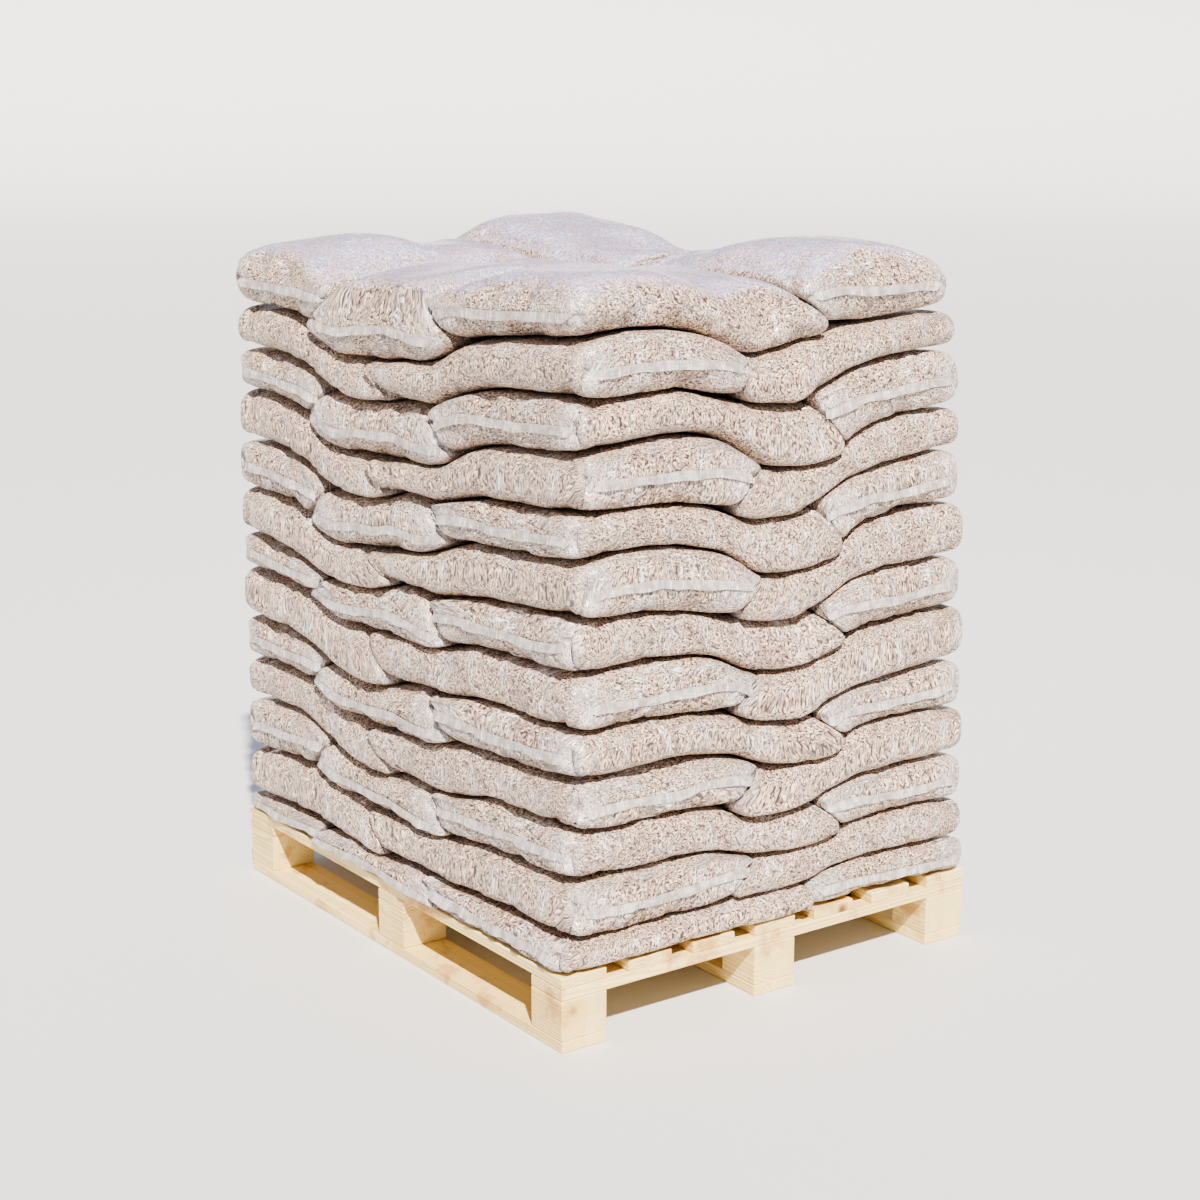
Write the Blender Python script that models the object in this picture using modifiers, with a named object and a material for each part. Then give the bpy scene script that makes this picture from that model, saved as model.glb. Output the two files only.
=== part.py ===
"""Pallet of sacks: 65 filled film sacks in 13 bonded layers on a nailed softwood block pallet.

Metres, +Z up. The origin is on the floor under the middle of the pallet. X runs along the
pallet's 1200 mm side and Y along its 1000 mm side.
"""
from math import exp, hypot

import bmesh
import bpy
import numpy as np
from mathutils import Vector

# Pallet
PALLET_LENGTH = 1.200
PALLET_WIDTH = 1.000
BOARD_WIDTH = 0.100
BOARD_THICKNESS = 0.022
BLOCK_HEIGHT = 0.078
DECK_BOARD_COUNT = 7
EDGE_BEVEL = 0.002
GAP = 0.0003

# Sacks
SACK_LENGTH = 0.600
SACK_WIDTH = 0.400
LAYER_COUNT = 13
LAYER_PITCH = 0.095

# How the layers settle into each other, in millimetres from the even height, along the front
# edge from left to right and along the right edge from front to back. Odd layers, then even ones.
# The back and left edges are those of the other kind of layer, turned half round.
FRONT_PLACES = {
    1: (-600, -520, -400, -320, -270, -215, -150, -50, 30, 100, 170, 220, 270, 330, 400, 500, 600),
    0: (-600, -520, -400, -310, -260, -190, -120, -20, 50, 140, 190, 240, 300, 400, 500, 600),
}
FRONT_HEIGHTS = {
    1: (-24, -28, -32, -42, -58, -76, -80, -75, -58, -50, -52, -38, -27, -12, -5, 3, 16),
    0: (-24, -29, -35, -43, -57, -83, -83, -86, -76, -72, -58, -40, -18, -7, 2, 18),
}
RIGHT_PLACES = {
    1: (-500, -417, -293, -211, -159, -113, -66, -4, 58, 109, 151, 202, 275, 347, 450, 500),
    0: (-500, -417, -293, -221, -169, -118, -87, -56, 16, 78, 130, 171, 202, 254, 326, 430, 500),
}
RIGHT_HEIGHTS = {
    1: (-4, -8, -8, -10, -27, -49, -58, -62, -63, -46, -20, 0, 10, 13, 21, 22),
    0: (-4, 6, 12, 12, 0, -22, -42, -60, -72, -74, -66, -48, -22, -9, -3, 8, 10),
}
LAYERS_TO_SETTLE = 3.5
LAYER_GAP = 0.0010
LOW_FAR_CORNERS = 0.030
TOP_SETTLED = 0.80
TOP_BACK_RISE = 0.020
TOP_DRAW = 0.040
TOP_BUMPS = (
    (-0.45, -0.15, 0.25, 0.020),
    (-0.50, 0.08, 0.12, 0.010),
    (-0.30, 0.30, 0.20, -0.014),
    (-0.12, 0.35, 0.12, -0.016),
    (0.58, 0.48, 0.12, -0.020),
)
EDGE_PULL = 0.020
SOFTENED = 16.0
TOP_CROWN = 0.027
TOP_SHOULDER = 0.010
TAPER_X = 0.020
TAPER_Y = 0.045
NEAR_RECESS = 0.058
RECESS_GROWTH = 5.0
SEEN_SHIFT = 1.44
SEEN_DROP = 0.42
MIDDLE_SAG, MIDDLE_LAYER, SAG_LAYERS = 0.012, 7.5, 3.0

# Grooves between sacks. Each wall ring is a part of the layer's height and how far it stands in.
WALL_RINGS = {0.0: 0.040, 0.1: 0.016, 0.3: 0.003, 0.7: 0.003, 0.9: 0.016, 1.0: 0.040}
CORNER_INSET = 0.016
JOINT_GROOVE = 0.018
JOINT_INSET = 0.046

# Where the sacks of a layer meet, at half its height, and how far the contact leans to either
# side of that. Even layers, then odd ones.
LEFT_JOINT, LEFT_LEAN = (-0.270, -0.270), 0.060
RIGHT_JOINT, RIGHT_LEAN = (0.172, 0.172), -0.070
BACK_JOINT, BACK_LEAN = (0.098, 0.112), -0.055
MEETING_JOINT, MEETING_LEAN = (0.047, 0.0), 0.065

BOTTOM_BOARD_Z = BOARD_THICKNESS / 2
BLOCK_BASE_Z = BOARD_THICKNESS + GAP
STRINGER_BASE_Z = BLOCK_BASE_Z + BLOCK_HEIGHT + GAP
DECK_BASE_Z = STRINGER_BASE_Z + BOARD_THICKNESS + GAP
STACK_BASE_Z = DECK_BASE_Z + BOARD_THICKNESS + GAP
EDGE_X = (PALLET_LENGTH - BOARD_WIDTH) / 2
EDGE_Y = (PALLET_WIDTH - BOARD_WIDTH) / 2

# Lines of the lattice that each layer is cut into: the joints and the lines beside them
LEFT_LINE, RIGHT_LINE, BACK_LINE = -0.270, 0.172, 0.105
MEETING_LINE = (0.060, 0.0)
LATTICE_X = (0.060, 0.172, 0.270, 0.360, 0.440, 0.520)
LATTICE_Y = (0.105, 0.195, 0.270, 0.345, 0.420)
LINE_MARGIN = 0.015


def clear_scene():
    for obj in list(bpy.data.objects):
        bpy.data.objects.remove(obj, do_unlink=True)


def make_collection(name):
    collection = bpy.data.collections.new(name)
    bpy.context.scene.collection.children.link(collection)
    return collection


def make_material(name, color, roughness, metallic=0.0):
    material = bpy.data.materials.new(name)
    material.use_nodes = True
    shader = material.node_tree.nodes["Principled BSDF"]
    shader.inputs["Base Color"].default_value = (*color, 1.0)
    shader.inputs["Roughness"].default_value = roughness
    shader.inputs["Metallic"].default_value = metallic
    return material


def add_object(name, mesh, collection, material, parent):
    obj = bpy.data.objects.new(name, mesh)
    obj.data.materials.append(material)
    obj.parent = parent
    collection.objects.link(obj)
    return obj


def box_mesh(name, size):
    """A cube primitive at its real size, centred on its own origin."""
    bm = bmesh.new()
    bmesh.ops.create_cube(bm, size=1.0)
    bmesh.ops.scale(bm, vec=Vector(size), verts=bm.verts)
    mesh = bpy.data.meshes.new(name)
    bm.to_mesh(mesh)
    bm.free()
    return mesh


def add_timber(name, size, place, collection, material, parent):
    """A sawn board or block with slightly broken edges."""
    timber = add_object(name, box_mesh(name, size), collection, material, parent)
    timber.location = place
    bevel = timber.modifiers.new("Broken edges", "BEVEL")
    bevel.width = EDGE_BEVEL
    bevel.segments = 1
    return timber


def build_pallet(collection, material, parent):
    long_board = (PALLET_LENGTH, BOARD_WIDTH, BOARD_THICKNESS)
    cross_board = (BOARD_WIDTH, PALLET_WIDTH, BOARD_THICKNESS)
    block = (BOARD_WIDTH, BOARD_WIDTH, BLOCK_HEIGHT)
    columns = (-EDGE_X, 0.0, EDGE_X)
    rows = (-EDGE_Y, 0.0, EDGE_Y)
    deck_step = 2 * EDGE_Y / (DECK_BOARD_COUNT - 1)
    half_board = BOARD_THICKNESS / 2
    for row, y in enumerate(rows, 1):
        place = (0.0, y, BOTTOM_BOARD_Z)
        add_timber(f"bottom_board_{row}", long_board, place, collection, material, parent)
        for column, x in enumerate(columns, 1):
            place = (x, y, BLOCK_BASE_Z + BLOCK_HEIGHT / 2)
            name = f"block_{row}_{column}"
            add_timber(name, block, place, collection, material, parent)
    for column, x in enumerate(columns, 1):
        place = (x, 0.0, STRINGER_BASE_Z + half_board)
        name = f"stringer_board_{column}"
        add_timber(name, cross_board, place, collection, material, parent)
    for number in range(DECK_BOARD_COUNT):
        place = (0.0, -EDGE_Y + number * deck_step, DECK_BASE_Z + half_board)
        name = f"deck_board_{number + 1}"
        add_timber(name, long_board, place, collection, material, parent)


def sack_row(layer):
    """Each sack of a layer as its middle and its half sizes. Even layers are turned half round."""
    half_long, half_wide = SACK_LENGTH / 2, SACK_WIDTH / 2
    three = [(x, -half_wide, half_wide, half_long) for x in (-SACK_WIDTH, 0.0, SACK_WIDTH)]
    two = [(x, half_long, half_long, half_wide) for x in (-half_long, half_long)]
    turn = 1 if layer % 2 else -1
    return [(turn * x, turn * y, along_x, along_y) for x, y, along_x, along_y in three + two]


def joints_of(layer):
    """The lattice lines between a layer's sacks, each as its two ends."""
    edge_x, edge_y = PALLET_LENGTH / 2, PALLET_WIDTH / 2
    meeting = MEETING_LINE[layer % 2]
    lines = [
        (LEFT_LINE, -edge_y, LEFT_LINE, BACK_LINE),
        (RIGHT_LINE, -edge_y, RIGHT_LINE, BACK_LINE),
        (-edge_x, BACK_LINE, edge_x, BACK_LINE),
        (meeting, BACK_LINE, meeting, edge_y),
    ]
    turn = 1 if layer % 2 else -1
    return [tuple(turn * value for value in line) for line in lines]


def joint_distance(layer, x, y):
    """How far a point is, in plan, from the nearest joint of a layer."""
    nearest = PALLET_LENGTH
    for x0, y0, x1, y1 in joints_of(layer):
        beside_x = min(max(x, min(x0, x1)), max(x0, x1))
        beside_y = min(max(y, min(y0, y1)), max(y0, y1))
        nearest = min(nearest, hypot(x - beside_x, y - beside_y))
    return nearest


def between_lines(place, line, lattice):
    """A place as near to the wanted one as the lattice lines beside the joint leave room for."""
    lines = sorted({0.0, *lattice, *(-value for value in lattice)})
    below = max(value for value in lines if value < line - GAP) + LINE_MARGIN
    above = min(value for value in lines if value > line + GAP) - LINE_MARGIN
    return min(max(place, below), above)


def on_joint(layer, x, y, height):
    """Moves a point of a joint's lattice line to where the sacks meet at that height."""
    turn = 1 if layer % 2 else -1
    kind, aside = layer % 2, 2 * height - 1
    x, y = turn * x, turn * y
    moved_x, moved_y = x, y
    if abs(y - BACK_LINE) < GAP:
        moved_y = between_lines(BACK_JOINT[kind] + BACK_LEAN * aside, BACK_LINE, LATTICE_Y)
    if y < BACK_LINE + GAP and abs(x - LEFT_LINE) < GAP:
        moved_x = between_lines(LEFT_JOINT[kind] + LEFT_LEAN * aside, LEFT_LINE, LATTICE_X)
    if y < BACK_LINE + GAP and abs(x - RIGHT_LINE) < GAP:
        moved_x = between_lines(RIGHT_JOINT[kind] + RIGHT_LEAN * aside, RIGHT_LINE, LATTICE_X)
    meeting = MEETING_LINE[kind]
    if y > BACK_LINE - GAP and abs(x - meeting) < GAP:
        moved_x = between_lines(MEETING_JOINT[kind] + MEETING_LEAN * aside, meeting, LATTICE_X)
    return turn * moved_x, turn * moved_y


def softened(places, heights):
    """The curve through some places and heights, in metres, without its corners."""
    fine = np.arange(-620.0, 621.0, 4.0)
    weights = np.exp(-0.5 * ((fine[:, None] - fine) / SOFTENED) ** 2)
    curve = weights @ np.interp(fine, places, heights) / weights.sum(axis=1)
    return fine / 1000, curve / 1000


FRONT_CURVES = {kind: softened(FRONT_PLACES[kind], FRONT_HEIGHTS[kind]) for kind in (0, 1)}
RIGHT_CURVES = {kind: softened(RIGHT_PLACES[kind], RIGHT_HEIGHTS[kind]) for kind in (0, 1)}


def front_height(kind, x):
    return float(np.interp(x, *FRONT_CURVES[kind]))


def right_height(kind, y):
    return float(np.interp(y, *RIGHT_CURVES[kind]))


def near_recess(level, x, y):
    """How far the front draws back towards the near corner, more with each layer."""
    grown = NEAR_RECESS * (1 - exp(-level / RECESS_GROWTH))
    return grown * (0.5 + x / PALLET_LENGTH) * (0.5 - y / PALLET_WIDTH)


def settled_height(kind, x, y, recess):
    """Height from the even level, blended inwards from the four edges."""
    edge_x, edge_y = PALLET_LENGTH / 2, PALLET_WIDTH / 2
    other = 1 - kind
    back_step = right_height(kind, edge_y) - front_height(other, -edge_x)
    left_step = front_height(kind, -edge_x) - right_height(other, edge_y)
    front = front_height(kind, x + SEEN_SHIFT * recess) - SEEN_DROP * recess
    right = right_height(kind, y + recess)
    back = front_height(other, -x) + back_step * (0.5 + x / PALLET_LENGTH)
    left = right_height(other, -y) + left_step * (0.5 - y / PALLET_WIDTH)
    edges = ((front, y + edge_y), (right, edge_x - x), (back, edge_y - y), (left, edge_x + x))
    pulls = [(max(away, 0.0) + EDGE_PULL) ** -2 for _, away in edges]
    return sum(height * pull for (height, _), pull in zip(edges, pulls)) / sum(pulls)


def top_of_layer(layer, x, y):
    """Height of the surface where a layer meets the next one. The dips deepen with each layer."""
    grown = 1 - exp(-layer / LAYERS_TO_SETTLE)
    near = (0.5 + x / PALLET_LENGTH) * (0.5 - y / PALLET_WIDTH)
    settled = grown * settled_height(layer % 2, x, y, near_recess(layer, x, y))
    if layer == LAYER_COUNT:
        settled = settled * TOP_SETTLED + TOP_BACK_RISE * (0.5 + y / PALLET_WIDTH)
        for bump_x, bump_y, spread, rise in TOP_BUMPS:
            settled += rise * exp(-((x - bump_x) ** 2 + (y - bump_y) ** 2) / spread ** 2)
    low = LOW_FAR_CORNERS * (1 - grown) * (1 - near) if layer else 0.0
    sag = MIDDLE_SAG * exp(-((layer - MIDDLE_LAYER) / SAG_LAYERS) ** 2) if layer else 0.0
    return STACK_BASE_Z + layer * LAYER_PITCH + settled - low - sag


def crown(layer, x, y):
    """How far the middle of a sack in the top layer stands above its edges."""
    highest = 0.0
    for mid_x, mid_y, half_x, half_y in sack_row(layer):
        across, along = abs(x - mid_x) / half_x, abs(y - mid_y) / half_y
        if across <= 1 and along <= 1:
            highest = max(highest, TOP_CROWN * (1 - across ** 4) * (1 - along ** 4))
    return highest


def lattice_block():
    """A unit-high slab the size of the pallet, cut along the lattice lines."""
    bm = bmesh.new()
    bmesh.ops.create_cube(bm, size=1.0)
    bmesh.ops.translate(bm, vec=(0.0, 0.0, 0.5), verts=bm.verts)
    bmesh.ops.scale(bm, vec=(PALLET_LENGTH, PALLET_WIDTH, 1.0), verts=bm.verts)
    cuts = [((side * x, 0.0, 0.0), (1.0, 0.0, 0.0)) for x in LATTICE_X for side in (-1, 1)]
    cuts += [((0.0, side * y, 0.0), (0.0, 1.0, 0.0)) for y in LATTICE_Y for side in (-1, 1)]
    cuts += [((0.0, 0.0, height), (0.0, 0.0, 1.0)) for height in WALL_RINGS if 0 < height < 1]
    cuts += [((0.0, 0.0, 0.0), (1.0, 0.0, 0.0)), ((0.0, 0.0, 0.0), (0.0, 1.0, 0.0))]
    for point, normal in cuts:
        everything = list(bm.verts) + list(bm.edges) + list(bm.faces)
        bmesh.ops.bisect_plane(bm, geom=everything, dist=1e-5, plane_co=point, plane_no=normal)
    return bm


def split_flats(bm):
    """Cuts the upper and lower faces along one diagonal, so that layers meet face to face."""
    for face in list(bm.faces):
        if abs(face.normal.z) < 0.5:
            continue
        low = min(face.verts, key=lambda vert: vert.co.x + vert.co.y)
        high = max(face.verts, key=lambda vert: vert.co.x + vert.co.y)
        bmesh.utils.face_split(face, low, high)


def plan_inset(layer, x, y, height):
    """How far a point on the outer wall stands in from the pallet's edge."""
    inset = WALL_RINGS[height]
    return max(inset, JOINT_INSET) if joint_distance(layer, x, y) < GAP else inset


def placed(layer, x, y, height):
    """Where a lattice point of a layer lies in the settled stack."""
    edge_x, edge_y = PALLET_LENGTH / 2, PALLET_WIDTH / 2
    wall_x, wall_y = abs(x) > edge_x - GAP, abs(y) > edge_y - GAP
    inset = plan_inset(layer, x, y, height) if wall_x or wall_y else 0.0
    inset_x = inset if wall_x else 0.0
    inset_y = inset if wall_y else 0.0
    if wall_x and wall_y:
        inset_x += CORNER_INSET
        inset_y += CORNER_INSET
    plan_x, plan_y = on_joint(layer, x, y, height)
    plan_x -= inset_x * (1 if x > 0 else -1)
    plan_y -= inset_y * (1 if y > 0 else -1)
    bottom = top_of_layer(layer - 1, plan_x, plan_y) + LAYER_GAP / 2
    top = top_of_layer(layer, plan_x, plan_y) - LAYER_GAP / 2
    if layer == LAYER_COUNT:
        top += crown(layer, x, y)
        top -= TOP_SHOULDER if wall_x or wall_y else 0.0
    z = bottom + (top - bottom) * height
    if height in (0.0, 1.0) and joint_distance(layer, x, y) < GAP:
        z += JOINT_GROOVE * (1 - 2 * height)
    level = layer - 1 + height
    rise = level / LAYER_COUNT
    plan_y += near_recess(level, plan_x, plan_y)
    plan_x *= 1 - (TAPER_X * rise if plan_x > 0 else 0.0)
    plan_y = (plan_y + edge_y) * (1 - TAPER_Y * rise - TOP_DRAW * rise ** 8) - edge_y
    return Vector((plan_x, plan_y, z))


def sack_layer_mesh(layer, name):
    bm = lattice_block()
    split_flats(bm)
    for vert in bm.verts:
        x, y = round(vert.co.x, 4), round(vert.co.y, 4)
        height = min(WALL_RINGS, key=lambda level: abs(level - vert.co.z))
        vert.co = placed(layer, x, y, height)
    mesh = bpy.data.meshes.new(name)
    bm.to_mesh(mesh)
    bm.free()
    return mesh


def build_sacks(collection, material, parent):
    """One solid for each layer of five sacks, with the grooves between them cut into its faces."""
    for layer in range(1, LAYER_COUNT + 1):
        name = f"sack_layer_{layer:02d}"
        add_object(name, sack_layer_mesh(layer, name), collection, material, parent)


def main():
    clear_scene()
    collection = make_collection("pallet_of_sacks")
    pine = make_material("sawn_pine", (0.80, 0.66, 0.42), 0.75)
    film = make_material("pellets_in_clear_film", (0.62, 0.50, 0.42), 0.35)
    load = bpy.data.objects.new("pallet_load", None)
    collection.objects.link(load)
    build_pallet(collection, pine, load)
    build_sacks(collection, film, load)


main()
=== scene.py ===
import math
import random

import bmesh
import bpy
import numpy as np
from mathutils import Matrix, Vector


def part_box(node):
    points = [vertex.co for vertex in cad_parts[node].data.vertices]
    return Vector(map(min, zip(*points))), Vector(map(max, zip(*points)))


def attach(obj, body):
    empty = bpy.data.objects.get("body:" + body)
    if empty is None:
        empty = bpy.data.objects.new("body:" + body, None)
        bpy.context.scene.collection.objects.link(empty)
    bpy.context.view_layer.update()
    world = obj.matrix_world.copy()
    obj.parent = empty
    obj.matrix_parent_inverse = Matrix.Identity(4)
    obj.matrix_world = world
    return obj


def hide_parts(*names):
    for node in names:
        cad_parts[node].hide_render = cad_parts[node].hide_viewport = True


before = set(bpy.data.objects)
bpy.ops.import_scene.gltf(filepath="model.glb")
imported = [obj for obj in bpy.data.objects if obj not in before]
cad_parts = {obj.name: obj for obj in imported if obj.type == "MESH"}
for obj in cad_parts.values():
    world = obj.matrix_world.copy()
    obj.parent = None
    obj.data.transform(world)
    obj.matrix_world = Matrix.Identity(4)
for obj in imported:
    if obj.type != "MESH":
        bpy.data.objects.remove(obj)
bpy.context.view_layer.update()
print("frame loaded:", len(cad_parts), "nodes")


# camera, floor and lights

view = {"azimuth": 54.12, "elevation": 13.33, "roll": 0.14, "focalPixels": 2278.0, "framePixels": 1200.0,
        "sensorWidth": 36.0, "place": (3.734, -2.685, 1.750)}

studio = {
    "floorRadius": 22.0, "floorSides": 96,
    "rim": ((1.5, 0.1), (1.5, 0.4), (1.2, 0.8), (0.8, 1.2), (0.4, 1.4), (0.1, 1.4)),
    "floorColor": (0.66, 0.64, 0.62), "floorRoughness": 0.7,
    "airColor": (0.66, 0.74, 1.0), "air": 0.40,
    "sunTowards": (0.70, -0.34, 0.84), "sun": 9.8, "sunColor": (1.0, 0.95, 0.885), "sunWidth": 1.5,
    "skyPlace": (-1.2, 1.4, 4.6), "skySize": 4.0, "sky": 80.0, "skyColor": (0.70, 0.78, 1.0),
    "skyTarget": (0, 0, 0.7),
    "look": "AgX - Medium High Contrast",
}


def addObject(name, data):
    obj = bpy.data.objects.new(name, data)
    bpy.context.scene.collection.objects.link(obj)
    return obj


def makeCamera():
    azimuth, elevation, roll = (math.radians(view[key]) for key in ("azimuth", "elevation", "roll"))
    camera = addObject("camera", bpy.data.cameras.new("camera"))
    aimed = Matrix.Rotation(azimuth, 4, "Z") @ Matrix.Rotation(math.pi / 2 - elevation, 4, "X")
    camera.matrix_world = Matrix.Translation(view["place"]) @ aimed @ Matrix.Rotation(roll, 4, "Z")
    camera.data.sensor_width = view["sensorWidth"]
    camera.data.lens = camera.data.sensor_width * view["focalPixels"] / view["framePixels"]
    bpy.context.scene.camera = camera


def addLight(name, kind, power, color, facing):
    light = addObject(name, bpy.data.lights.new(name, kind))
    light.data.energy = power
    light.data.color = color
    light.rotation_euler = facing.to_track_quat("Z", "Y").to_euler()
    return light


def makeStudio():
    bpy.ops.object.select_all(action="DESELECT")
    bpy.ops.mesh.primitive_circle_add(vertices=studio["floorSides"], radius=studio["floorRadius"], fill_type="NGON")
    floor = bpy.context.object
    floor.name = "floor"
    bpy.ops.object.mode_set(mode="EDIT")
    bpy.ops.mesh.select_all(action="SELECT")
    bpy.ops.mesh.region_to_loop()
    reach = studio["floorRadius"]
    for outward, upward in studio["rim"]:  # the floor turns up far away, all round
        bpy.ops.mesh.extrude_edges_move()
        larger = (reach + outward) / reach
        bpy.ops.transform.resize(value=(larger, larger, 1), center_override=(0, 0, 0))
        bpy.ops.transform.translate(value=(0, 0, upward))
        reach += outward
    bpy.ops.object.mode_set(mode="OBJECT")
    bpy.ops.object.shade_smooth()
    paint = Finish("floorPaint")
    paint.surface("Base Color", (*studio["floorColor"], 1))
    paint.surface("Roughness", studio["floorRoughness"])
    floor.data.materials.append(paint.material)
    world = bpy.data.worlds.new("studio")
    bpy.context.scene.world = world
    world.use_nodes = True
    background = world.node_tree.nodes["Background"].inputs
    background["Color"].default_value = (*studio["airColor"], 1)
    background["Strength"].default_value = studio["air"]
    bpy.context.scene.view_settings.look = studio["look"]
    sun = addLight("key", "SUN", studio["sun"], studio["sunColor"], Vector(studio["sunTowards"]))
    sun.data.angle = math.radians(studio["sunWidth"])
    place = Vector(studio["skyPlace"])
    sky = addLight("sky", "AREA", studio["sky"], studio["skyColor"], place - Vector(studio["skyTarget"]))
    sky.data.size = studio["skySize"]
    sky.location = place
    print("camera, floor and lights made")


# shader building

class Wire:
    # a node's output that can be added, multiplied and so on
    def __init__(self, finish, output):
        self.finish, self.output = finish, output

    def math(self, operation, *others):
        return self.finish.node("ShaderNodeMath", {"operation": operation}, dict(enumerate((self, *others))))

    def __add__(self, other): return self.math("ADD", other)
    def __sub__(self, other): return self.math("SUBTRACT", other)
    def __mul__(self, other): return self.math("MULTIPLY", other)
    def __truediv__(self, other): return self.math("DIVIDE", other)
    def __abs__(self): return self.math("ABSOLUTE")
    def __gt__(self, other): return self.math("GREATER_THAN", other)
    __radd__, __rmul__ = __add__, __mul__

    def __rsub__(self, other):
        return self.finish.node("ShaderNodeMath", {"operation": "SUBTRACT"}, {0: other, 1: self})

    def most(self, other): return self.math("MAXIMUM", other)
    def least(self, other): return self.math("MINIMUM", other)
    def root(self): return self.math("SQRT")
    def fraction(self): return self.math("FRACT")

    def between(self, low, high, fromValue=0.0, toValue=1.0):
        return self.finish.node("ShaderNodeMapRange", {"interpolation_type": "SMOOTHSTEP"}, {
            "Value": self, "From Min": low, "From Max": high, "To Min": fromValue, "To Max": toValue})


class Finish:
    def __init__(self, name):
        self.material = bpy.data.materials.new(name)
        self.material.use_nodes = True
        self.tree = self.material.node_tree
        self.shader = self.tree.nodes["Principled BSDF"]

    def plug(self, socket, value):
        if isinstance(value, Wire):
            self.tree.links.new(value.output, socket)
        elif isinstance(value, (tuple, list)) and socket.type == "RGBA":
            socket.default_value = (*value[:3], 1)
        else:
            socket.default_value = value

    def node(self, kind, settings=None, sockets=None, output=0):
        made = self.tree.nodes.new(kind)
        for key, value in (settings or {}).items():
            if key == "stops":
                while len(made.color_ramp.elements) < len(value):
                    made.color_ramp.elements.new(1.0)
                for stop, (place, color) in zip(made.color_ramp.elements, value):
                    stop.position, stop.color = place, (*color, 1)
            else:
                setattr(made, key, value)
        for key, value in (sockets or {}).items():
            self.plug(made.inputs[key], value)
        return Wire(self, made.outputs[output])

    def surface(self, socket, value):
        self.plug(self.shader.inputs[socket], value)

    def mix(self, factor, first, second, blend="MIX"):
        # the colour sockets of a Mix node are its 6th and 7th, and the colour comes out of its 2nd
        settings = {"data_type": "RGBA", "blend_type": blend}
        return self.node("ShaderNodeMix", settings, {0: factor, 6: first, 7: second}, 2)

    def vector(self, operation, first, second):
        return self.node("ShaderNodeVectorMath", {"operation": operation}, {0: first, 1: second})

    def noise(self, place, scale, detail=2.0, roughness=0.5, distortion=0.0):
        return self.node("ShaderNodeTexNoise", None, {
            "Vector": place, "Scale": scale, "Detail": detail, "Roughness": roughness, "Distortion": distortion})

    def mapped(self, place, move=(0, 0, 0), turn=0.0, size=(1, 1, 1)):
        # counted in steps of size, after a turn about Z
        return self.node("ShaderNodeMapping", {"vector_type": "TEXTURE"},
                         {"Vector": place, "Location": move, "Rotation": (0, 0, turn), "Scale": size})

    def uv(self, name):
        return self.node("ShaderNodeUVMap", {"uv_map": name})

    def other(self, wire, output):
        # another output of the node that a wire comes from
        return Wire(self, wire.output.node.outputs[output])

    def axes(self, place):
        x = self.node("ShaderNodeSeparateXYZ", None, {0: place})
        return x, self.other(x, 1), self.other(x, 2)

    def bump(self, height, distance, normal=None):
        sockets = {"Height": height, "Distance": distance}
        if normal is not None:
            sockets["Normal"] = normal
        return self.node("ShaderNodeBump", None, sockets)


# pellets behind a clear film

pelletLook = {
    "radius": 0.0020, "halfLength": 0.0019, "shortest": 0.6, "longer": 0.8, "splay": 0.7,
    "cell": (0.0084, 0.0062), "directions": 4, "extraTurn": 0.37, "cellMove": (0.137, 0.071),
    "bend": 0.008, "bendScale": 40.0,
    "dome": 0.9, "piled": 1.1, "outline": 0.08, "relief": 0.0016,
    "cream": (1.0, 0.87, 0.62), "pale": (0.80, 0.58, 0.42), "pink": (0.52, 0.36, 0.30), "grey": (0.28, 0.20, 0.165),
    # the gaps, and the rims and hollows of the rods, take painted shade
    "gapShade": (0.060, 0.036, 0.028), "edgeShade": (0.25, 0.95, 0.12, 1.0), "depthShade": (0.5, 1.7, 0.22, 1.0),
}

# ranges are from, to and the values there
filmLook = {
    "seamZone": (0.250, 0.335), "cornerZone": (0.03, 0.12, 1.0, 0.0), "topOfStack": (1.27, 1.36),
    "ridgeSize": (0.034, 0.0042, 1), "hoopSize": (0.0048, 0.030, 1), "clumpScale": 14.0,
    "pleat": (0.57, 0.62), "pleatClumps": (0.46, 0.54), "cornerPleats": 2.0,
    "hoop": (0.56, 0.60), "hoopClumps": (0.52, 0.57),
    "veil": (0.35, 0.70, 0.0, 0.08), "cornerVeil": (0.35, 0.58, 0.20, 0.95),
    # the creases are whitened towards the streak colour as a painted glint
    "haze": (0.78, 0.68, 0.66), "creaseGlint": (1.0, 0.98, 0.98), "creaseGlintShare": 0.9,
    # dust and a painted reflection of the sky tint the upward faces at the top of the stack
    "dustAndSkySheen": ((0.54, 0.43, 0.58), (0.43, 0.44, 0.70)), "dustAndSheenPatches": (0.40, 0.60), "upwardSkySheen": (0.50, 0.98, 0.0, 0.55),
    "roughness": 0.42, "creaseGloss": 0.15, "coat": 0.6, "coatRoughness": 0.2, "coatIor": 1.45, "relief": 0.0024,
}


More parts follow.
